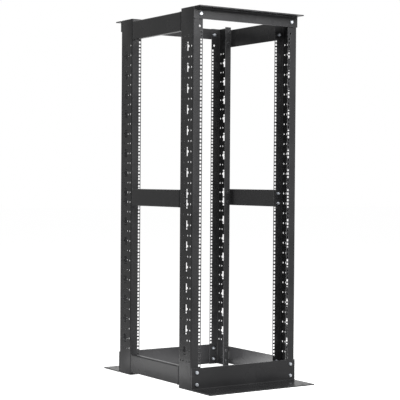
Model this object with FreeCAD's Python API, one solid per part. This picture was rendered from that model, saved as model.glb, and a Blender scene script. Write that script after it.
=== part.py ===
"""Four post open frame rack for 19 inch equipment, 32 rack units high.

Four channel posts are bolted to an angle across the top and the base of each face, and to three
braces down each side. Origin: on the floor, at the middle of the footprint. +X runs to the right
of somebody who faces the front, +Y runs from the front to the back, and +Z is up. Millimetres.
"""
import FreeCAD
import Part

import os

# Rack standard (EIA-310, 19 inch)
rack_units = 32
unit_pitch = 44.45
unit_hole_offsets = (6.35, 22.225, 38.1)
hole_column_spacing = 465.1
square_hole = 9.5

# Frame
frame_depth = 606.0
sheet = 2.7
bend_radius = 2.5

# Posts: channels with the web outward and both flanges turned in
flange_width = 48.0
column_edge_distance = 7.05
web_depth = 98.4
post_end_margin = 98.4

# Openings in the post's web: a cross shaped slot at every second unit, mirrored at mid height
slot_width = 24.0
slot_height = 38.0
slot_arm_reach = 19.0
slot_arm_height = 8.6

# Spare round hole near the top of each outward flange. Every other bolt hole is filled by its bolt.
spare_hole = 10.3
spare_hole_inset = 33.5
spare_hole_drop = 80.3

# Top and base angles
angle_thickness = 4.8
angle_bend_radius = 3.2
top_angle_leg = 50.8
base_angle_leg = 95.0
base_angle_foot = 146.0
anchor_hole = 14.0
anchor_spacing = 446.0
anchor_edge_margin = 21.0

# Side braces: plates flush with the webs, with a tab turned in at each end
brace_end_gap = 12.0
end_brace_height = 82.5
middle_brace_height = 76.2
brace_tab = 46.0

# Worked out from the sizes above
equipment_opening = hole_column_spacing - 2.0 * column_edge_distance
frame_width = equipment_opening + 2.0 * flange_width
post_height = rack_units * unit_pitch + 2.0 * post_end_margin
half_width = frame_width / 2.0
half_depth = frame_depth / 2.0
overcut = 5.0


def box(x_span, y_span, z_span):
    """Box between two limits along each axis."""
    size = [span[1] - span[0] for span in (x_span, y_span, z_span)]
    return Part.makeBox(*size, FreeCAD.Vector(x_span[0], y_span[0], z_span[0]))


def mirrored(shape, across_x=False, across_y=False):
    """Copy of a shape mirrored to the right side, to the back, or both."""
    origin = FreeCAD.Vector(0, 0, 0)
    if across_x:
        shape = shape.mirror(origin, FreeCAD.Vector(1, 0, 0))
    if across_y:
        shape = shape.mirror(origin, FreeCAD.Vector(0, 1, 0))
    return shape


def rounded_path(points, radius):
    """Edges along a path of straight runs, with an arc of one radius at each square corner."""
    edges = []
    here = points[0]
    for before, corner, after in zip(points, points[1:], points[2:]):
        run_in = (corner - before).normalize()
        run_out = (after - corner).normalize()
        arc_start = corner - run_in * radius
        arc_end = corner + run_out * radius
        centre = arc_start + run_out * radius
        arc_middle = centre + (corner - centre).normalize() * radius
        edges.append(Part.makeLine(here, arc_start))
        edges.append(Part.Arc(arc_start, arc_middle, arc_end).toShape())
        here = arc_end
    edges.append(Part.makeLine(here, points[-1]))
    return edges


def bent_strip(corners, thickness, inner_radius, direction):
    """Sheet of one thickness that follows straight runs, bent square at each corner.

    The corners are the points of the outer face's section, listed so that the material lies on
    the left of the path, and direction is the length and way in which the section is drawn out.
    """
    axis = FreeCAD.Vector(direction).normalize()
    outer = [FreeCAD.Vector(*corner) for corner in corners]
    sideways = [axis.cross((end - start).normalize()) * thickness for start, end in zip(outer, outer[1:])]
    inner = [outer[0] + sideways[0]]
    for corner, side_in, side_out in zip(outer[1:-1], sideways, sideways[1:]):
        inner.append(corner + side_in + side_out)
    inner.append(outer[-1] + sideways[-1])
    edges = rounded_path(outer, inner_radius + thickness) + rounded_path(inner, inner_radius)
    edges += [Part.makeLine(outer[0], inner[0]), Part.makeLine(outer[-1], inner[-1])]
    section = Part.Wire(Part.__sortEdges__(edges))
    return Part.Face(section).extrude(direction)


def hole_heights():
    """Height of every equipment hole in one column, from the bottom up."""
    heights = []
    for unit in range(rack_units):
        unit_base = post_end_margin + unit * unit_pitch
        heights.extend(unit_base + offset for offset in unit_hole_offsets)
    return heights


def slotted_units():
    """Units whose web has a slot: every second one, mirrored at mid height."""
    half = rack_units // 2
    lower = [unit for unit in range(half) if (half - 1 - unit) % 2 == 0]
    return lower + [rack_units - 1 - unit for unit in lower]


def web_slots():
    """Cutters for the cross shaped slots, centred in the web of the left front post."""
    x_span = (-half_width - overcut, -half_width + sheet + overcut)
    y_centre = -half_depth + web_depth / 2.0
    cutters = []
    for unit in slotted_units():
        z_centre = post_end_margin + (unit + 0.5) * unit_pitch
        upright = box(x_span,
                      (y_centre - slot_width / 2.0, y_centre + slot_width / 2.0),
                      (z_centre - slot_height / 2.0, z_centre + slot_height / 2.0))
        arms = box(x_span,
                   (y_centre - slot_arm_reach, y_centre + slot_arm_reach),
                   (z_centre - slot_arm_height / 2.0, z_centre + slot_arm_height / 2.0))
        cutters.append(upright.fuse(arms).removeSplitter())
    return cutters


def equipment_holes(y):
    """Cutters for one column of square holes through the flange whose face is at y."""
    x = -hole_column_spacing / 2.0
    x_span = (x - square_hole / 2.0, x + square_hole / 2.0)
    y_span = (y - overcut, y + sheet + overcut)
    return [box(x_span, y_span, (z - square_hole / 2.0, z + square_hole / 2.0)) for z in hole_heights()]


def spare_bolt_hole():
    """Cutter for the round hole left open near the top of the left front post."""
    x = -half_width + spare_hole_inset
    z = post_height - spare_hole_drop
    start = FreeCAD.Vector(x, -half_depth - overcut, z)
    return Part.makeCylinder(spare_hole / 2.0, sheet + 2.0 * overcut, start, FreeCAD.Vector(0, 1, 0))


def anchor_holes():
    """Cutters for the two floor anchor holes in the foot of the front base angle."""
    y = -half_depth - base_angle_foot + anchor_edge_margin
    length = angle_thickness + 2.0 * overcut
    places = [FreeCAD.Vector(side * anchor_spacing / 2.0, y, -overcut) for side in (-1, 1)]
    return [Part.makeCylinder(anchor_hole / 2.0, length, place) for place in places]


def front_left_post():
    """Channel post with its equipment holes, web slots and spare hole."""
    front = -half_depth
    back = -half_depth + web_depth
    outer = -half_width
    inner = -half_width + flange_width
    corners = [(inner, back, 0), (outer, back, 0), (outer, front, 0), (inner, front, 0)]
    post = bent_strip(corners, sheet, bend_radius, FreeCAD.Vector(0, 0, post_height))
    cutters = equipment_holes(front) + web_slots() + [spare_bolt_hole()]
    return post.cut(Part.makeCompound(cutters))


def front_top_angle():
    """Angle across the top of the front posts, its flat leg pointing forward."""
    face = -half_depth
    corners = [(-half_width, face, post_height - top_angle_leg),
               (-half_width, face, post_height),
               (-half_width, face - top_angle_leg, post_height)]
    return bent_strip(corners, angle_thickness, angle_bend_radius, FreeCAD.Vector(frame_width, 0, 0))


def front_base_angle():
    """Angle across the foot of the front posts, its wide leg on the floor and pointing forward."""
    face = -half_depth
    corners = [(-half_width, face - base_angle_foot, 0),
               (-half_width, face, 0),
               (-half_width, face, base_angle_leg)]
    angle = bent_strip(corners, angle_thickness, angle_bend_radius, FreeCAD.Vector(frame_width, 0, 0))
    return angle.cut(Part.makeCompound(anchor_holes()))


def left_brace(bottom, height):
    """Side brace from post to post, flush with the webs, with a tab behind each post's flange."""
    reach = half_depth - web_depth
    outer = -half_width
    tip = outer + brace_tab
    corners = [(tip, reach, bottom), (outer, reach, bottom), (outer, -reach, bottom), (tip, -reach, bottom)]
    return bent_strip(corners, sheet, bend_radius, FreeCAD.Vector(0, 0, height))


def all_parts():
    """Every piece of the rack by name."""
    post = front_left_post()
    top_angle = front_top_angle()
    base_angle = front_base_angle()
    braces = {
        "bottom": left_brace(brace_end_gap, end_brace_height),
        "middle": left_brace((post_height - middle_brace_height) / 2.0, middle_brace_height),
        "top": left_brace(post_height - brace_end_gap - end_brace_height, end_brace_height),
    }
    parts = {
        "front_left_post": post,
        "front_right_post": mirrored(post, across_x=True),
        "rear_left_post": mirrored(post, across_y=True),
        "rear_right_post": mirrored(post, across_x=True, across_y=True),
        "front_top_angle": top_angle,
        "rear_top_angle": mirrored(top_angle, across_y=True),
        "front_base_angle": base_angle,
        "rear_base_angle": mirrored(base_angle, across_y=True),
    }
    for level, brace in braces.items():
        parts["left_" + level + "_brace"] = brace
        parts["right_" + level + "_brace"] = mirrored(brace, across_x=True)
    return parts


def main():
    """Build every piece and write one STEP file for each."""
    os.makedirs("parts", exist_ok=True)
    for name, shape in all_parts().items():
        solid = shape.Solids[0]
        solid.exportStep(os.path.join("parts", name + ".step"))
        print(name, "valid", solid.isValid(), "solids", len(shape.Solids), "volume", round(solid.Volume))


main()
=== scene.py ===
"""Looks of a four post open frame rack: painted channel posts, angles, braces and zinc bolts.

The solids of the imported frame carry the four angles. The posts and the side braces are made again
here from flat blanks, with every hole, lip and short flange of the real sheet, and each joint gets
its bolts, washers and nuts. Metres, +X right, +Y from the front to the back, +Z up, origin on the
floor at the middle.
"""

import logging
import math
from dataclasses import dataclass
from enum import Enum

import bpy
import numpy as np
from mathutils import Matrix, Vector
from mathutils.geometry import delaunay_2d_cdt


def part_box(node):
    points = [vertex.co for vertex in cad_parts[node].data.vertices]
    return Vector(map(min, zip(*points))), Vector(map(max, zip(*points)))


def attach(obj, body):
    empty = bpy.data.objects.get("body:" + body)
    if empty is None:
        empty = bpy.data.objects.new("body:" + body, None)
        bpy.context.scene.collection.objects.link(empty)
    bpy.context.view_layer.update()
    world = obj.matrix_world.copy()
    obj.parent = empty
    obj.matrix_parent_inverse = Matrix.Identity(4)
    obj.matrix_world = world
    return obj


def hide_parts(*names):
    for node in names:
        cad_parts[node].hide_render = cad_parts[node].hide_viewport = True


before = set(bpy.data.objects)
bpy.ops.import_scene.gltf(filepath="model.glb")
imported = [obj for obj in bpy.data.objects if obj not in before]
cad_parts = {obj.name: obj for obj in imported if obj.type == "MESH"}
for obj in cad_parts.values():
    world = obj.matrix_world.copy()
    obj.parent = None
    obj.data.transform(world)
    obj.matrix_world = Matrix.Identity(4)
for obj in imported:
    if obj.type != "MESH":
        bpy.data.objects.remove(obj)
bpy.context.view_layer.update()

log = logging.getLogger("rack")

MM = 0.001
BODY = "root"
QUARTER_TURN = math.pi / 2.0

# Main sizes of the frame, in millimetres, as the solids have them.
HALF_WIDTH = 273.5
HALF_DEPTH = 303.0
WEB_DEPTH = 98.4
SHEET = 2.7
UNIT_PITCH = 44.45

# Sockets of a Mix node that blends colours.
MIX_FACTOR, MIX_A, MIX_B, MIX_RESULT = 0, 6, 7, 2

# Nearly all values of a noise lie between these two.
NOISE_LOW, NOISE_HIGH = 0.3, 0.7

# Triangulation of a blank: every triangle is given back, and points closer than this are one.
ALL_TRIANGLES = 0
MERGE_MM = 1e-5


class Side(Enum):
    """Left or right of the rack, as the sign of X."""

    LEFT = -1
    RIGHT = 1


class Face(Enum):
    """Front or rear of the rack, as the sign of Y."""

    FRONT = -1
    REAR = 1


class Level(Enum):
    """Which of the three braces down a side."""

    BOTTOM = "bottom"
    MIDDLE = "middle"
    TOP = "top"


def short_inside(side: Side, face: Face) -> bool:
    """Say whether the post at a corner has the short flange inside.

    Args:
        side: Side of the corner.
        face: Face of the corner.

    Returns:
        True at two corners that stand diagonally across from each other.
    """
    return side.value * face.value > 0


def linear(hex_colour: str) -> tuple[float, float, float, float]:
    """Turn an sRGB hex colour into linear RGBA.

    Args:
        hex_colour: Six hex digits after a hash.

    Returns:
        Linear red, green, blue and an alpha of one.
    """
    channels = np.array([int(hex_colour[i:i + 2], 16) for i in (1, 3, 5)]) / 255.0
    values = np.where(channels <= 0.04045, channels / 12.92, ((channels + 0.055) / 1.055) ** 2.4)
    return (*values.tolist(), 1.0)


def add_node(tree: bpy.types.NodeTree, kind: str, settings: dict | None = None,
             links: dict | None = None) -> bpy.types.Node:
    """Add a node with its settings and the links into it.

    Args:
        tree: Node tree that gets the node.
        kind: Blender's type name of the node.
        settings: Attribute names, or input socket names, to their values.
        links: Input socket names to the output sockets that feed them.

    Returns:
        The new node.
    """
    node = tree.nodes.new(kind)
    for name, value in (settings or {}).items():
        if name in node.inputs:
            node.inputs[name].default_value = value
        else:
            setattr(node, name, value)
    for name, source in (links or {}).items():
        tree.links.new(source, node.inputs[name])
    return node


def new_material(name: str) -> tuple[bpy.types.Material, bpy.types.NodeTree]:
    """Make an empty node material.

    Args:
        name: Name of the material.

    Returns:
        The material and its node tree.
    """
    material = bpy.data.materials.new(name)
    material.use_nodes = True
    material.node_tree.nodes.clear()
    return material, material.node_tree


@dataclass(frozen=True)
class PowderCoat:
    """Black polyester powder coat on folded mild steel, sprayed dry and baked.

    The cured film pulls into a shallow orange peel, which breaks reflections up into a soft sheen.
    """

    name: str = "powder_coated_steel"
    colour: str = "#262627"
    dusty_colour: str = "#323233"
    # Light grey along the edges: partly worn coat, partly a painted highlight.
    edge_wear_and_highlight_colour: str = "#7c7c7e"
    edge_mm: float = 1.6
    edge_wear_and_highlight: float = 0.7
    edge_from: tuple[float, float] = (0.98, 0.80)
    peel_mm: float = 3.0
    peel_height_mm: float = 0.05
    peel_strength: float = 0.35
    cloud_mm: float = 160.0
    dust_from: tuple[float, float] = (0.35, 0.75)
    dust_most: float = 0.6
    roughness: tuple[float, float] = (0.22, 0.30)
    specular_level: float = 0.12
    film_ior: float = 1.5

    def material(self) -> bpy.types.Material:
        """Build the coat's material on Object coordinates.

        Returns:
            The finish of the painted steel.
        """
        material, tree = new_material(self.name)
        place = add_node(tree, "ShaderNodeTexCoord").outputs["Object"]
        # Real peel has cells of about 1 mm. They are drawn coarser, so that they show.
        peel = add_node(tree, "ShaderNodeTexNoise",
                        {"Scale": 1.0 / (self.peel_mm * MM), "Detail": 2.0, "Roughness": 0.5},
                        {"Vector": place})
        # The film's thickness and the dust drift over the reach of one pass of the spray gun.
        clouds = add_node(tree, "ShaderNodeTexNoise",
                          {"Scale": 1.0 / (self.cloud_mm * MM), "Detail": 4.0, "Roughness": 0.6},
                          {"Vector": place})
        tone = add_node(tree, "ShaderNodeMix", {"data_type": "RGBA"})
        tone.inputs[MIX_A].default_value = linear(self.colour)
        tone.inputs[MIX_B].default_value = linear(self.dusty_colour)
        dust = add_node(tree, "ShaderNodeMapRange",
                        {"From Min": self.dust_from[0], "From Max": self.dust_from[1],
                         "To Min": 0.0, "To Max": self.dust_most},
                        {"Value": clouds.outputs["Fac"]})
        tree.links.new(dust.outputs["Result"], tone.inputs[MIX_FACTOR])
        sheen = add_node(tree, "ShaderNodeMapRange",
                         {"From Min": NOISE_LOW, "From Max": NOISE_HIGH,
                          "To Min": self.roughness[0], "To Max": self.roughness[1]},
                         {"Value": clouds.outputs["Fac"]})
        # Near an edge the rounded normal leaves the true one. There the coat is thin and rubbed,
        # and the light grey is also a painted highlight, for the light that catches each edge.
        rounded = add_node(tree, "ShaderNodeBevel", {"samples": 6, "Radius": self.edge_mm * MM})
        facing = add_node(tree, "ShaderNodeNewGeometry")
        straight = add_node(tree, "ShaderNodeVectorMath", {"operation": "DOT_PRODUCT"})
        tree.links.new(rounded.outputs["Normal"], straight.inputs[0])
        tree.links.new(facing.outputs["Normal"], straight.inputs[1])
        edge = add_node(tree, "ShaderNodeMapRange",
                        {"From Min": self.edge_from[0], "From Max": self.edge_from[1],
                         "To Min": 0.0, "To Max": self.edge_wear_and_highlight},
                        {"Value": straight.outputs["Value"]})
        worn_and_highlit_edges = add_node(tree, "ShaderNodeMix", {"data_type": "RGBA"})
        worn_and_highlit_edges.inputs[MIX_B].default_value = linear(self.edge_wear_and_highlight_colour)
        tree.links.new(edge.outputs["Result"], worn_and_highlit_edges.inputs[MIX_FACTOR])
        tree.links.new(tone.outputs[MIX_RESULT], worn_and_highlit_edges.inputs[MIX_A])
        bump = add_node(tree, "ShaderNodeBump",
                        {"Strength": self.peel_strength, "Distance": self.peel_height_mm * MM},
                        {"Height": peel.outputs["Fac"]})
        shader = add_node(tree, "ShaderNodeBsdfPrincipled",
                          {"IOR": self.film_ior, "Specular IOR Level": self.specular_level},
                          {"Base Color": worn_and_highlit_edges.outputs[MIX_RESULT],
                           "Roughness": sheen.outputs["Result"],
                           "Normal": bump.outputs["Normal"]})
        add_node(tree, "ShaderNodeOutputMaterial", {}, {"Surface": shader.outputs["BSDF"]})
        return material


@dataclass(frozen=True)
class ZincPlate:
    """Bright zinc plate on cold headed steel, dipped and passivated.

    The thin plate stays bright, a little blue, and clouds from bolt to bolt.
    """

    name: str = "zinc_plated_steel"
    bright: str = "#b6b9bd"
    clouded: str = "#8d9095"
    cloud_mm: float = 7.0
    roughness: tuple[float, float] = (0.32, 0.48)

    def material(self) -> bpy.types.Material:
        """Build the plate's material on Object coordinates.

        Returns:
            The finish of the bare bolts.
        """
        material, tree = new_material(self.name)
        place = add_node(tree, "ShaderNodeTexCoord").outputs["Object"]
        # Clouds of the passivation are about half as wide as a head.
        clouds = add_node(tree, "ShaderNodeTexNoise",
                          {"Scale": 1.0 / (self.cloud_mm * MM), "Detail": 3.0},
                          {"Vector": place})
        tone = add_node(tree, "ShaderNodeMix", {"data_type": "RGBA"})
        tone.inputs[MIX_A].default_value = linear(self.bright)
        tone.inputs[MIX_B].default_value = linear(self.clouded)
        tree.links.new(clouds.outputs["Fac"], tone.inputs[MIX_FACTOR])
        gloss = add_node(tree, "ShaderNodeMapRange",
                         {"From Min": NOISE_LOW, "From Max": NOISE_HIGH,
                          "To Min": self.roughness[0], "To Max": self.roughness[1]},
                         {"Value": clouds.outputs["Fac"]})
        shader = add_node(tree, "ShaderNodeBsdfPrincipled", {"Metallic": 1.0},
                          {"Base Color": tone.outputs[MIX_RESULT],
                           "Roughness": gloss.outputs["Result"]})
        add_node(tree, "ShaderNodeOutputMaterial", {}, {"Surface": shader.outputs["BSDF"]})
        return material


def make_piece(name: str, points: np.ndarray, faces: list[list[int]],
               material: bpy.types.Material, smooth_angle_deg: float = 30.0) -> bpy.types.Object:
    """Put points and faces into a mesh object that rides on the rack.

    Args:
        name: Name of the piece.
        points: Points in metres, one row each.
        faces: Point numbers of each face, anticlockwise from outside.
        material: The piece's finish.
        smooth_angle_deg: Edges that turn more than this stay sharp.

    Returns:
        The new object, linked into the scene.
    """
    mesh = bpy.data.meshes.new(name)
    mesh.from_pydata(points.tolist(), [], faces)
    mesh.validate()
    mesh.polygons.foreach_set("use_smooth", np.ones(len(mesh.polygons), dtype=bool))
    mesh.set_sharp_from_angle(angle=math.radians(smooth_angle_deg))
    mesh.materials.append(material)
    piece = bpy.data.objects.new(name, mesh)
    bpy.context.scene.collection.objects.link(piece)
    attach(piece, BODY)
    return piece


@dataclass
class FoldedChannel:
    """Sheet steel channel that stands upright, cut flat and then folded at both ends of its web.

    Lengths in millimetres. The blank's first coordinate runs round the outside of the section,
    from the tip of the first flange over the web to the tip of the second one. The first flange
    lies toward the named face of the rack.
    """

    side: Side
    face: Face
    height: float
    bottom: float = 0.0
    half_width: float = HALF_WIDTH
    half_depth: float = HALF_DEPTH
    web_depth: float = WEB_DEPTH
    flange: float = 48.0
    second_flange: float = 48.0
    sheet: float = SHEET
    inner_radius: float = 2.5
    fold_steps: int = 6

    @property
    def radius(self) -> float:
        """Outside radius of each fold."""
        return self.inner_radius + self.sheet

    @property
    def flange_run(self) -> float:
        """Straight part of the first flange."""
        return self.flange - self.radius

    @property
    def second_run(self) -> float:
        """Straight part of the second flange."""
        return self.second_flange - self.radius

    @property
    def web_run(self) -> float:
        """Straight part of the web."""
        return self.web_depth - 2.0 * self.radius

    @property
    def fold_run(self) -> float:
        """Length of one fold round its outside."""
        return self.radius * QUARTER_TURN

    @property
    def blank_width(self) -> float:
        """Width of the whole flat blank."""
        return self.flange_run + self.second_run + 2.0 * self.fold_run + self.web_run

    def outlines(self) -> list[np.ndarray]:
        """Outlines of the holes in the blank: none in a plain channel.

        Returns:
            One array of points for each hole, in blank coordinates.
        """
        return []

    def rim(self) -> np.ndarray:
        """Outline of the blank, anticlockwise: a plain rectangle.

        Returns:
            One point a row, in blank coordinates.
        """
        return np.array([(0.0, 0.0), (self.blank_width, 0.0), (self.blank_width, self.height),
                         (0.0, self.height)])

    def creases(self) -> np.ndarray:
        """Lines along which the blank bends, close together across each fold.

        Returns:
            Two ends for each line, in blank coordinates.
        """
        first_fold = self.flange_run + np.linspace(0.0, self.fold_run, self.fold_steps + 1)
        folds = np.concatenate([first_fold, first_fold + self.fold_run + self.web_run])
        low = np.column_stack([folds, np.zeros_like(folds)])
        high = np.column_stack([folds, np.full_like(folds, self.height)])
        return np.stack([low, high], axis=1)

    def flat_blank(self) -> tuple[np.ndarray, np.ndarray]:
        """Fill the blank with triangles that leave the holes open.

        The rim is the first outline, so a triangle of sheet lies in that one alone, and a triangle
        in a hole also lies in the hole's outline.

        Returns:
            Points in blank coordinates, and the triangles, anticlockwise.
        """
        loops = [self.rim()] + self.outlines()
        starts = np.cumsum([0] + [len(loop) for loop in loops])
        faces = [list(range(start, end)) for start, end in zip(starts[:-1], starts[1:])]
        creases = self.creases()
        low = starts[-1] + 2 * np.arange(len(creases))
        edges = list(zip(low.tolist(), (low + 1).tolist()))
        points = np.vstack(loops + [creases.reshape(-1, 2)])
        found, _, triangles, _, _, owners = delaunay_2d_cdt(
            [Vector(p) for p in points.tolist()], edges, faces, ALL_TRIANGLES, MERGE_MM)
        sheet = [triangle for triangle, owner in zip(triangles, owners) if owner == [0]]
        return np.array([tuple(p) for p in found]), np.array(sheet)

    def folded(self, across: np.ndarray, inset: float) -> np.ndarray:
        """Fold the blank's first coordinate round the section.

        Each straight run adds its own length to X or Y. Each fold turns evenly through a quarter
        circle, so it adds radius times sine along the way in, and radius times one less cosine
        across it. The inset moves points inward, against the face's normal.

        Args:
            across: Blank coordinates round the section.
            inset: Depth below the outside face.

        Returns:
            Depth from the web's outer face and from the first flange's face, as two columns.
        """
        radius = self.radius
        second = self.flange_run + self.fold_run + self.web_run
        first_run = np.clip(across, 0.0, self.flange_run)
        first_turn = np.clip((across - self.flange_run) / radius, 0.0, QUARTER_TURN)
        web_run = np.clip(across - self.flange_run - self.fold_run, 0.0, self.web_run)
        second_turn = np.clip((across - second) / radius, 0.0, QUARTER_TURN)
        last_run = np.clip(across - second - self.fold_run, 0.0, self.second_run)
        inward = self.flange - first_run - radius * np.sin(first_turn)
        inward = inward + radius * (1.0 - np.cos(second_turn)) + last_run
        backward = radius * (1.0 - np.cos(first_turn)) + web_run + radius * np.sin(second_turn)
        turn = first_turn + second_turn
        return np.column_stack([inward + inset * np.sin(turn), backward + inset * np.cos(turn)])

    def shaped(self, flat: np.ndarray, inset: float) -> np.ndarray:
        """Place points of the blank round the channel.

        Args:
            flat: Points in blank coordinates.
            inset: Depth below the outside face.

        Returns:
            Depth from the web's outer face, depth from the first flange's face, and height.
        """
        return np.column_stack([self.folded(flat[:, 0], inset), flat[:, 1]])

    def build(self, material: bpy.types.Material, node: str, piece_name: str) -> bpy.types.Object:
        """Make the channel: two folded skins a sheet apart, closed round every edge.

        An edge of the blank that only one triangle uses lies on the rim or round a hole, and gets
        a wall from skin to skin.

        Args:
            material: The channel's finish.
            node: Solid of the frame that this piece stands for.
            piece_name: Name of the new piece.

        Returns:
            The channel's object.
        """
        flat, triangles = self.flat_blank()
        skins = []
        for inset in (0.0, self.sheet):
            placed = self.shaped(flat, inset)
            skins.append(np.column_stack([self.side.value * (self.half_width - placed[:, 0]),
                                          self.face.value * (self.half_depth - placed[:, 1]),
                                          self.bottom + placed[:, 2]]))
        turned_over = self.side.value * self.face.value > 0
        if turned_over:
            triangles = triangles[:, ::-1]
        count = len(flat)
        ends = np.vstack([triangles[:, [0, 1]], triangles[:, [1, 2]], triangles[:, [2, 0]]])
        key = np.sort(ends, axis=1) @ np.array([count, 1])
        _, where, uses = np.unique(key, return_index=True, return_counts=True)
        rim = ends[where[uses == 1]]
        walls = np.column_stack([rim[:, 1], rim[:, 0], rim[:, 0] + count, rim[:, 1] + count])
        faces = triangles.tolist() + (triangles[:, ::-1] + count).tolist() + walls.tolist()
        piece = make_piece(piece_name, np.vstack(skins) * MM, faces, material)
        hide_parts(node)
        log.info("%s: %d holes, %d faces", piece.name, len(self.outlines()), len(faces))
        return piece


@dataclass
class LippedBrace(FoldedChannel):
    """Side brace whose long edges are turned in as stiffening lips between the tabs. Millimetres.

    A notch at each end of a lip lets the sheet fold without tearing.
    """

    lip: float = 20.0
    lip_gap: float = 6.0
    notch: float = 2.0
    notch_past_fold: float = 1.0
    tolerance: float = 0.01

    @property
    def lip_span(self) -> tuple[float, float]:
        """Blank coordinates between which the lips run."""
        start = self.flange_run + self.fold_run + self.lip_gap
        return start, start + self.web_run - 2.0 * self.lip_gap

    @property
    def lip_out(self) -> float:
        """How far the blank reaches past the brace's edge to make a lip."""
        return self.fold_run + self.lip - 2.0 * self.radius

    def rim(self) -> np.ndarray:
        """Outline of the blank: the brace with a lip past each long edge, and relief notches.

        Returns:
            One point a row, in blank coordinates.
        """
        start, end = self.lip_span
        deep = self.radius + self.notch_past_fold
        low = np.array([(0.0, 0.0), (start - self.notch, 0.0), (start - self.notch, deep),
                        (start, deep), (start, -self.lip_out), (end, -self.lip_out), (end, deep),
                        (end + self.notch, deep), (end + self.notch, 0.0), (self.blank_width, 0.0)])
        high = np.column_stack([low[::-1, 0], self.height - low[::-1, 1]])
        return np.vstack([low, high])

    def creases(self) -> np.ndarray:
        """Lines along which the blank bends: those of the tabs, then those of the lips.

        Returns:
            Two ends for each line, in blank coordinates.
        """
        start, end = self.lip_span
        low = self.radius - np.linspace(0.0, self.fold_run, self.fold_steps + 1)
        levels = np.concatenate([low, self.height - low])
        lips = np.stack([np.column_stack([np.full_like(levels, start), levels]),
                         np.column_stack([np.full_like(levels, end), levels])], axis=1)
        return np.vstack([super().creases(), lips])

    def shaped(self, flat: np.ndarray, inset: float) -> np.ndarray:
        """Place points of the blank, with the lips turned in.

        Within the lips' span the height runs straight up to a radius from each edge. Past that it
        turns through a quarter circle, so it adds radius times sine to the height and radius
        times one less cosine to the depth, and then runs straight in.

        Args:
            flat: Points in blank coordinates.
            inset: Depth below the outside face.

        Returns:
            Depth from the web's outer face, depth from the first flange's face, and height.
        """
        placed = super().shaped(flat, inset)
        across, height = flat[:, 0], flat[:, 1]
        start, end = self.lip_span
        past = np.maximum(height - (self.height - self.radius), self.radius - height)
        turn = np.clip(past / self.radius, 0.0, QUARTER_TURN)
        run = np.clip(past - self.fold_run, 0.0, None)
        depth = self.radius * (1.0 - np.cos(turn)) + run + inset * np.cos(turn)
        outward = np.where(height > self.height / 2.0, 1.0, -1.0)
        straight = np.clip(height, self.radius, self.height - self.radius)
        level = straight + outward * (self.radius - inset) * np.sin(turn)
        lipped = (across > start - self.tolerance) & (across < end + self.tolerance)
        return np.column_stack([np.where(lipped, depth, placed[:, 0]), placed[:, 1],
                                np.where(lipped, level, placed[:, 2])])


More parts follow.
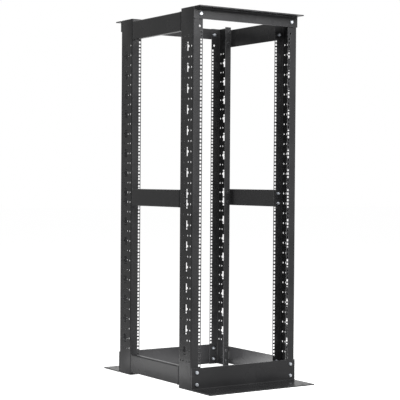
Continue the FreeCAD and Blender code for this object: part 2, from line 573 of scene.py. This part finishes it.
@dataclass
class PunchedPost(FoldedChannel):
    """Channel post with every hole of the real sheet. Millimetres."""

    rack_units: int = 32
    unit_pitch: float = UNIT_PITCH
    end_margin: float = 98.4
    unit_offsets: tuple[float, ...] = (6.35, 22.225, 38.1)
    square_hole: float = 9.5
    column_from_tip: float = 7.05
    web_hole: float = 8.7
    outer_web_hole: float = 14.3
    inner_web_hole: float = 34.55
    slot_width: float = 24.0
    slot_height: float = 38.0
    slot_arm_reach: float = 19.0
    slot_arm_height: float = 8.6
    tie_window: float = 7.0
    tie_bar: float = 3.0
    spare_hole: float = 10.3
    spare_from_tip: float = 14.5
    spare_drop: float = 80.3
    hole_steps: int = 16

    def on_web(self, depth: float) -> float:
        """Find a place on the web.

        Args:
            depth: Depth behind the outward flange's face.

        Returns:
            The first blank coordinate of that place.
        """
        return self.flange_run + self.fold_run + depth - self.radius

    def square(self, across: float, height: float) -> np.ndarray:
        """Outline of a square equipment hole.

        Args:
            across: First blank coordinate of the middle.
            height: Height of the middle.

        Returns:
            The four corners.
        """
        half = self.square_hole / 2.0
        return np.array([across, height]) + half * np.array([(-1, -1), (1, -1), (1, 1), (-1, 1)])

    def circle(self, across: float, height: float, diameter: float) -> np.ndarray:
        """Outline of a round hole: points at even turns round a circle.

        Args:
            across: First blank coordinate of the middle.
            height: Height of the middle.
            diameter: Width of the hole.

        Returns:
            One point a row.
        """
        turns = np.arange(self.hole_steps) * 2.0 * math.pi / self.hole_steps
        circle = np.column_stack([np.cos(turns), np.sin(turns)])
        return np.array([across, height]) + diameter / 2.0 * circle

    def cross(self, across: float, height: float) -> list[np.ndarray]:
        """Outlines of a cross shaped slot and, past a bar for cable ties, of the window at its end.

        The cross is an upright with a short arm to each side. The bar lies at the end that points
        away from the middle of the post.

        Args:
            across: First blank coordinate of the middle.
            height: Height of the middle.

        Returns:
            The cross and the window.
        """
        away = 1.0 if height > self.height / 2.0 else -1.0
        half, arm, reach = self.slot_width / 2.0, self.slot_arm_height / 2.0, self.slot_arm_reach
        end = self.slot_height / 2.0
        bar_far = end - self.tie_window
        bar_near = bar_far - self.tie_bar
        cross = np.array([(-half, -end), (half, -end), (half, -arm), (reach, -arm), (reach, arm),
                          (half, arm), (half, bar_near), (-half, bar_near), (-half, arm),
                          (-reach, arm), (-reach, -arm), (-half, -arm)])
        window = np.array([(-half, bar_far), (half, bar_far), (half, end), (-half, end)])
        place = np.array([across, height])
        outlines = [place + shape * (1.0, away) for shape in (cross, window)]
        return [outline if away > 0.0 else outline[::-1] for outline in outlines]

    def slotted(self, unit: int) -> bool:
        """Say whether a unit's web has a slot: every second one, mirrored at mid height.

        Args:
            unit: Number of the rack unit, from zero at the bottom.

        Returns:
            True for a unit with a slot.
        """
        half_units = self.rack_units // 2
        from_middle = half_units - 1 - unit if unit < half_units else unit - half_units
        return from_middle % 2 == 0

    def outlines(self) -> list[np.ndarray]:
        """Outlines of every hole in the blank.

        Returns:
            One array of points for each hole, in blank coordinates.
        """
        holes = []
        for unit in range(self.rack_units):
            base = self.end_margin + unit * self.unit_pitch
            for offset in self.unit_offsets:
                holes.append(self.square(self.column_from_tip, base + offset))
                if self.second_flange == self.flange:
                    far_column = self.blank_width - self.column_from_tip
                    holes.append(self.square(far_column, base + offset))
            middle = base + self.unit_pitch / 2.0
            depths = [self.outer_web_hole]
            if self.slotted(unit):
                holes += self.cross(self.on_web(self.web_depth / 2.0), middle)
            else:
                depths.append(self.inner_web_hole)
            for depth in depths:
                for place in (depth, self.web_depth - depth):
                    holes.append(self.circle(self.on_web(place), middle, self.web_hole))
        spare_height = self.height - self.spare_drop
        holes.append(self.circle(self.spare_from_tip, spare_height, self.spare_hole))
        return holes


@dataclass
class FramePlan:
    """Which channel goes where. Millimetres.

    Two posts that stand diagonally across from each other have a short flange inside, and so do
    the braces' tabs that are bolted to it.
    """

    post_height: float
    full_flange: float = 48.0
    short_flange: float = 33.5
    full_tab: float = 46.0
    short_tab: float = 32.0

    def build(self, material: bpy.types.Material) -> None:
        """Make the posts and the side braces.

        Args:
            material: The finish of the painted steel.
        """
        for side in Side:
            for face in Face:
                node = f"{face.name.lower()}_{side.name.lower()}_post"
                inside = self.short_flange if short_inside(side, face) else self.full_flange
                post = PunchedPost(side, face, self.post_height, second_flange=inside)
                post.build(material, node, node + "_punched")
            full_end = Face.REAR if short_inside(side, Face.FRONT) else Face.FRONT
            reach = HALF_DEPTH - WEB_DEPTH
            for level in Level:
                node = f"{side.name.lower()}_{level.value}_brace"
                low, high = (corner[2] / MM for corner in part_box(node))
                kind = LippedBrace if side is Side.LEFT else FoldedChannel
                brace = kind(side, full_end, high - low, bottom=low, half_depth=reach,
                             web_depth=2.0 * reach, flange=self.full_tab,
                             second_flange=self.short_tab)
                brace.build(material, node, node + "_folded")


@dataclass
class HexBolt:
    """Hexagon bolt with washers and nut, clamping a stack of sheets. Millimetres."""

    grip: float
    thread: float = 7.9
    across_flats: float = 12.7
    head_height: float = 5.2
    nut_height: float = 6.8
    washer: float = 15.0
    washer_thickness: float = 1.2
    tail: float = 3.0
    flat_share: float = 0.475
    chamfer_deg: float = 30.0
    point: float = 0.8
    columns: int = 24

    def profile(self) -> list[tuple[float, float, bool]]:
        """Stations along the axis, from the head's top to the tail.

        Returns:
            For each station its place, its radius, and whether the hexagon limits the radius. The
            outside of the outer sheet is at zero and the head lies on the negative side.
        """
        corner = self.across_flats / math.sqrt(3.0)
        flat_top = self.across_flats * self.flat_share
        drop = (corner - flat_top) * math.tan(math.radians(self.chamfer_deg))
        midway = flat_top + (corner - flat_top) * 0.5
        bearing = -self.washer_thickness
        top = bearing - self.head_height
        far = self.grip + self.washer_thickness
        nut_end = far + self.nut_height
        hold = self.washer / 2.0
        stem = self.thread / 2.0
        tail_end = nut_end + self.tail
        tip = tail_end + self.point
        head = [(top, 0.0, False), (top, flat_top, False), (top + drop * 0.5, midway, True),
                (top + drop, corner, True), (bearing, corner, True)]
        washers = [(bearing, hold, False), (0.0, hold, False), (0.0, stem, False),
                   (self.grip, stem, False), (self.grip, hold, False), (far, hold, False)]
        nut = [(far, corner, True), (nut_end - drop, corner, True),
               (nut_end - drop * 0.5, midway, True), (nut_end, flat_top, False)]
        tail = [(nut_end, stem, False), (tail_end, stem, False), (tip, stem - self.point, False),
                (tip, 0.0, False)]
        return head + washers + nut + tail

    def surface(self, place: tuple[float, float, float], outward: float,
                turn: float) -> tuple[np.ndarray, np.ndarray, np.ndarray]:
        """Turn the profile round the bolt's axis.

        At each station the radius is the smaller of the station's own and the hexagon's, which is
        half the width across flats over the cosine of the angle from the middle of the nearest
        flat. The first and the last station are single points on the axis.

        Args:
            place: Where the axis meets the outer sheet's face.
            outward: Sign of Y on which the head lies.
            turn: Angle of the hexagon about the axis, in radians.

        Returns:
            Points in millimetres, the quads between stations, and the triangles that close both
            ends.
        """
        along, radius, hexed = (np.array(column)[:, None] for column in zip(*self.profile()))
        sixth = math.pi / 3.0
        angle = np.arange(self.columns)[None, :] * 2.0 * math.pi / self.columns
        from_flat = np.mod(angle, sixth) - sixth / 2.0
        hexagon = self.across_flats / 2.0 / np.cos(from_flat)
        reach = np.where(hexed, np.minimum(radius, hexagon), radius)
        x = place[0] + reach * np.cos(angle + turn)
        z = place[2] + reach * np.sin(angle + turn)
        y = place[1] - outward * (along + np.zeros_like(angle))
        grid = np.stack([x, y, z], axis=-1)
        points = np.vstack([grid[0, :1], grid[1:-1].reshape(-1, 3), grid[-1, :1]])
        here = np.arange(self.columns)
        beside = (here + 1) % self.columns
        ring = 1 + self.columns * np.arange(len(grid) - 3)[:, None]
        beyond = ring + self.columns
        quads = np.stack([ring + here, ring + beside, beyond + beside, beyond + here], axis=-1)
        last = len(points) - 1
        fans = np.vstack([np.column_stack([np.zeros_like(here), 1 + beside, 1 + here]),
                          np.column_stack([np.full_like(here, last), last - self.columns + here,
                                           last - self.columns + beside])])
        way = 1 if outward > 0 else -1
        return points, quads.reshape(-1, 4)[:, ::way], fans[:, ::way]


@dataclass
class BoltGroup:
    """The bolts of one joint, as one piece. Millimetres."""

    name: str
    bolt: HexBolt
    places: list[tuple[float, float, float]]
    outward: float
    seed: int
    painted: bool = False

    def build(self, material: bpy.types.Material) -> bpy.types.Object:
        """Make the bolts, each turned by its own angle.

        Args:
            material: The bolts' finish.

        Returns:
            The group's object.
        """
        turns = np.random.default_rng(self.seed).uniform(0.0, math.pi / 3.0, len(self.places))
        parts = [self.bolt.surface(place, self.outward, turn)
                 for place, turn in zip(self.places, turns)]
        starts = np.cumsum([0] + [len(part[0]) for part in parts[:-1]])
        points = np.vstack([part[0] for part in parts])
        faces = []
        for (_, quads, fans), start in zip(parts, starts):
            faces += (quads + start).tolist() + (fans + start).tolist()
        piece = make_piece(self.name, points * MM, faces, material)
        log.info("%s: %d bolts", self.name, len(self.places))
        return piece


@dataclass
class BoltedJoints:
    """Where the rack is bolted together. Millimetres."""

    post_height: float
    angle_thickness: float = 4.8
    end_margin: float = 25.4
    spacing: float = 50.8
    middle_spacing: float = UNIT_PITCH
    base_inset: float = 26.0
    top_inset: float = 33.5
    top_margin: float = 29.5
    brace_inset: float = 25.5
    short_inset: float = 17.0
    base_seed: int = 11
    top_seed: int = 21
    brace_seed: int = 31

    def face_groups(self) -> list[BoltGroup]:
        """Bolts that hold the top and base angles to the posts, with their heads outside.

        Returns:
            A group for each angle.
        """
        groups = []
        bolt = HexBolt(grip=self.angle_thickness + SHEET)
        heights = (self.end_margin, self.end_margin + self.spacing)
        base_x = HALF_WIDTH - self.base_inset
        top_x = HALF_WIDTH - self.top_inset
        for order, face in enumerate(Face):
            outer = face.value * (HALF_DEPTH + self.angle_thickness)
            base = [(side.value * base_x, outer, z) for side in Side for z in heights]
            top = [(side.value * top_x, outer, self.post_height - self.top_margin) for side in Side]
            label = face.name.lower()
            groups.append(BoltGroup(label + "_base_bolts", bolt, base, face.value,
                                    self.base_seed + order))
            groups.append(BoltGroup(label + "_top_bolts", bolt, top, face.value,
                                    self.top_seed + order))
        return groups

    def brace_heights(self, level: Level) -> tuple[float, float]:
        """Heights of the two bolts at each end of a brace.

        Args:
            level: Which of the side's three braces.

        Returns:
            The lower and the upper height.
        """
        ends = (self.end_margin, self.end_margin + self.spacing)
        middle = self.post_height / 2.0
        if level is Level.BOTTOM:
            return ends
        if level is Level.TOP:
            return (self.post_height - ends[1], self.post_height - ends[0])
        return (middle - self.middle_spacing / 2.0, middle + self.middle_spacing / 2.0)

    def brace_groups(self) -> list[BoltGroup]:
        """Bolts that hold the side braces, with their heads toward the middle of the rack.

        The ones that go through a short flange were painted with the frame.

        Returns:
            A group for each end of each brace.
        """
        groups = []
        bolt = HexBolt(grip=2.0 * SHEET)
        seat = HALF_DEPTH - WEB_DEPTH - SHEET
        for side in Side:
            for level in Level:
                for face in Face:
                    short = short_inside(side, face)
                    inset = self.short_inset if short else self.brace_inset
                    x = side.value * (HALF_WIDTH - inset)
                    places = [(x, face.value * seat, z) for z in self.brace_heights(level)]
                    name = f"{side.name.lower()}_{level.value}_brace_{face.name.lower()}_bolts"
                    groups.append(BoltGroup(name, bolt, places, -face.value,
                                            self.brace_seed + len(groups), short))
        return groups


@dataclass(frozen=True)
class Lamp:
    """Soft area lamp. Metres and watts."""

    name: str
    place: tuple[float, float, float]
    target: tuple[float, float, float]
    size: tuple[float, float]
    power: float

    def hang(self) -> None:
        """Add the lamp, turned toward its target and hidden from the camera."""
        data = bpy.data.lights.new(self.name, "AREA")
        data.shape = "RECTANGLE"
        data.size, data.size_y = self.size
        data.energy = self.power
        lamp = bpy.data.objects.new(self.name, data)
        lamp.visible_camera = False
        aim = (Vector(self.target) - Vector(self.place)).to_track_quat("-Z", "Y")
        lamp.matrix_world = Matrix.Translation(self.place) @ aim.to_matrix().to_4x4()
        bpy.context.scene.collection.objects.link(lamp)


@dataclass(frozen=True)
class Studio:
    """Pale floor, soft lamps and the camera. Metres.

    Three lamps low down stand for the light that a pale floor throws back up.
    """

    camera_place: tuple[float, float, float] = (-3.1226, -4.6830, 0.8871)
    yaw_deg: float = 33.443
    pitch_deg: float = -0.835
    roll_deg: float = 0.396
    lens_mm: float = 111.89
    shift: tuple[float, float] = (-0.00215, -0.0032)
    sensor_mm: float = 36.0
    view_reach: float = 100.0
    floor_size: float = 60.0
    floor_colour: str = "#d8d8d8"
    floor_glow: float = 0.94
    world_colour: str = "#e6e6e6"
    world_strength: float = 0.1
    background: str = "#ffffff"
    lamps: tuple[Lamp, ...] = (
        Lamp("key", (-0.3, -2.4, 2.6), (-0.1, 0.0, 1.2), (1.0, 1.0), 31.0),
        Lamp("left_fill", (-1.2, -2.2, 2.5), (-0.1, 0.0, 1.2), (1.0, 1.0), 42.0),
        Lamp("right_fill", (0.9, -2.4, 2.5), (0.0, 0.0, 1.2), (1.0, 1.0), 67.0),
        Lamp("near_fill", (0.3, -2.8, 1.2), (0.0, 0.0, 1.0), (1.0, 1.0), 17.0),
        Lamp("floor_bounce", (0.0, 0.08, 0.006), (0.0, 0.08, 1.0), (0.4, 0.4), 2.4),
        Lamp("left_bounce", (-0.44, 0.0, 0.01), (-0.27, 0.0, 0.09), (1.0, 0.14), 1.1),
        Lamp("right_bounce", (0.10, 0.0, 0.01), (0.27, 0.0, 0.08), (0.4, 0.12), 1.3),
    )

    def camera(self) -> None:
        """Place the camera.

        Yaw turns the view from +Y toward +X, pitch lifts it, and roll turns the frame about it.
        """
        yaw, pitch, roll = (math.radians(a) for a in (self.yaw_deg, self.pitch_deg, self.roll_deg))
        forward = Vector((math.sin(yaw) * math.cos(pitch), math.cos(yaw) * math.cos(pitch),
                          math.sin(pitch)))
        level = Vector((math.cos(yaw), -math.sin(yaw), 0.0))
        above = level.cross(forward)
        right = level * math.cos(roll) + above * math.sin(roll)
        up = above * math.cos(roll) - level * math.sin(roll)
        data = bpy.data.cameras.new("camera")
        data.lens = self.lens_mm
        data.sensor_width = self.sensor_mm
        data.shift_x, data.shift_y = self.shift
        data.clip_end = self.view_reach
        camera = bpy.data.objects.new("camera", data)
        turn = Matrix((right, up, -forward)).transposed().to_4x4()
        camera.matrix_world = Matrix.Translation(self.camera_place) @ turn
        bpy.context.scene.collection.objects.link(camera)
        bpy.context.scene.camera = camera

    def seen(self, tree: bpy.types.NodeTree) -> bpy.types.NodeSocket:
        """Say whether a ray shows the background: from the camera, off a gloss or through glass.

        Args:
            tree: Node tree that asks.

        Returns:
            Socket that is one for such a ray and zero for any other.
        """
        path = add_node(tree, "ShaderNodeLightPath")
        direct = add_node(tree, "ShaderNodeMath", {"operation": "MAXIMUM"})
        tree.links.new(path.outputs["Is Camera Ray"], direct.inputs[0])
        tree.links.new(path.outputs["Is Glossy Ray"], direct.inputs[1])
        any_ray = add_node(tree, "ShaderNodeMath", {"operation": "MAXIMUM"})
        tree.links.new(direct.outputs[0], any_ray.inputs[0])
        tree.links.new(path.outputs["Is Transmission Ray"], any_ray.inputs[1])
        return any_ray.outputs[0]

    def world(self) -> None:
        """Light the scene evenly, and show white behind the rack."""
        world = bpy.data.worlds.new("studio")
        world.use_nodes = True
        tree = world.node_tree
        tree.nodes.clear()
        soft = add_node(tree, "ShaderNodeBackground",
                        {"Color": linear(self.world_colour), "Strength": self.world_strength})
        white = add_node(tree, "ShaderNodeBackground",
                         {"Color": linear(self.background), "Strength": 1.0})
        mix = add_node(tree, "ShaderNodeMixShader", {}, {"Fac": self.seen(tree)})
        tree.links.new(soft.outputs[0], mix.inputs[1])
        tree.links.new(white.outputs[0], mix.inputs[2])
        add_node(tree, "ShaderNodeOutputWorld", {}, {"Surface": mix.outputs[0]})
        bpy.context.scene.world = world

    def floor(self) -> None:
        """Lay the pale floor, which shows white to the camera except where the rack shades it."""
        material, tree = new_material("studio_floor")
        paint = add_node(tree, "ShaderNodeBsdfDiffuse", {"Color": linear(self.floor_colour)})
        glow = add_node(tree, "ShaderNodeEmission",
                        {"Color": linear(self.background), "Strength": self.floor_glow})
        lit = add_node(tree, "ShaderNodeAddShader")
        tree.links.new(paint.outputs[0], lit.inputs[0])
        tree.links.new(glow.outputs[0], lit.inputs[1])
        mix = add_node(tree, "ShaderNodeMixShader", {}, {"Fac": self.seen(tree)})
        tree.links.new(paint.outputs[0], mix.inputs[1])
        tree.links.new(lit.outputs[0], mix.inputs[2])
        add_node(tree, "ShaderNodeOutputMaterial", {}, {"Surface": mix.outputs[0]})
        half = self.floor_size / 2.0
        mesh = bpy.data.meshes.new("floor")
        corners = [(-half, -half, 0.0), (half, -half, 0.0), (half, half, 0.0), (-half, half, 0.0)]
        mesh.from_pydata(corners, [], [(0, 1, 2, 3)])
        mesh.materials.append(material)
        ground = bpy.data.objects.new("floor", mesh)
        bpy.context.scene.collection.objects.link(ground)

    def build(self) -> None:
        """Set up the whole studio."""
        self.camera()
        for lamp in self.lamps:
            lamp.hang()
        self.world()
        self.floor()
        bpy.context.scene.view_settings.view_transform = "Standard"
        log.info("studio: %d lamps", len(self.lamps))


def dress_solids(material: bpy.types.Material) -> None:
    """Give every solid of the frame its finish. The four angles are the ones that stay in sight.

    Args:
        material: The finish of the painted steel.
    """
    for name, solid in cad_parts.items():
        solid.data.materials.clear()
        solid.data.materials.append(material)
        log.info("%s dressed", name)


def main() -> None:
    """Build the rack's looks, one sub-assembly after another."""
    logging.basicConfig(level=logging.INFO, format="%(name)s %(message)s")
    paint = PowderCoat().material()
    zinc = ZincPlate().material()
    Studio().build()
    dress_solids(paint)
    post_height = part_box("front_left_post")[1][2] / MM
    FramePlan(post_height).build(paint)
    joints = BoltedJoints(post_height)
    for group in joints.face_groups() + joints.brace_groups():
        group.build(paint if group.painted else zinc)


if __name__ == "__main__":
    main()
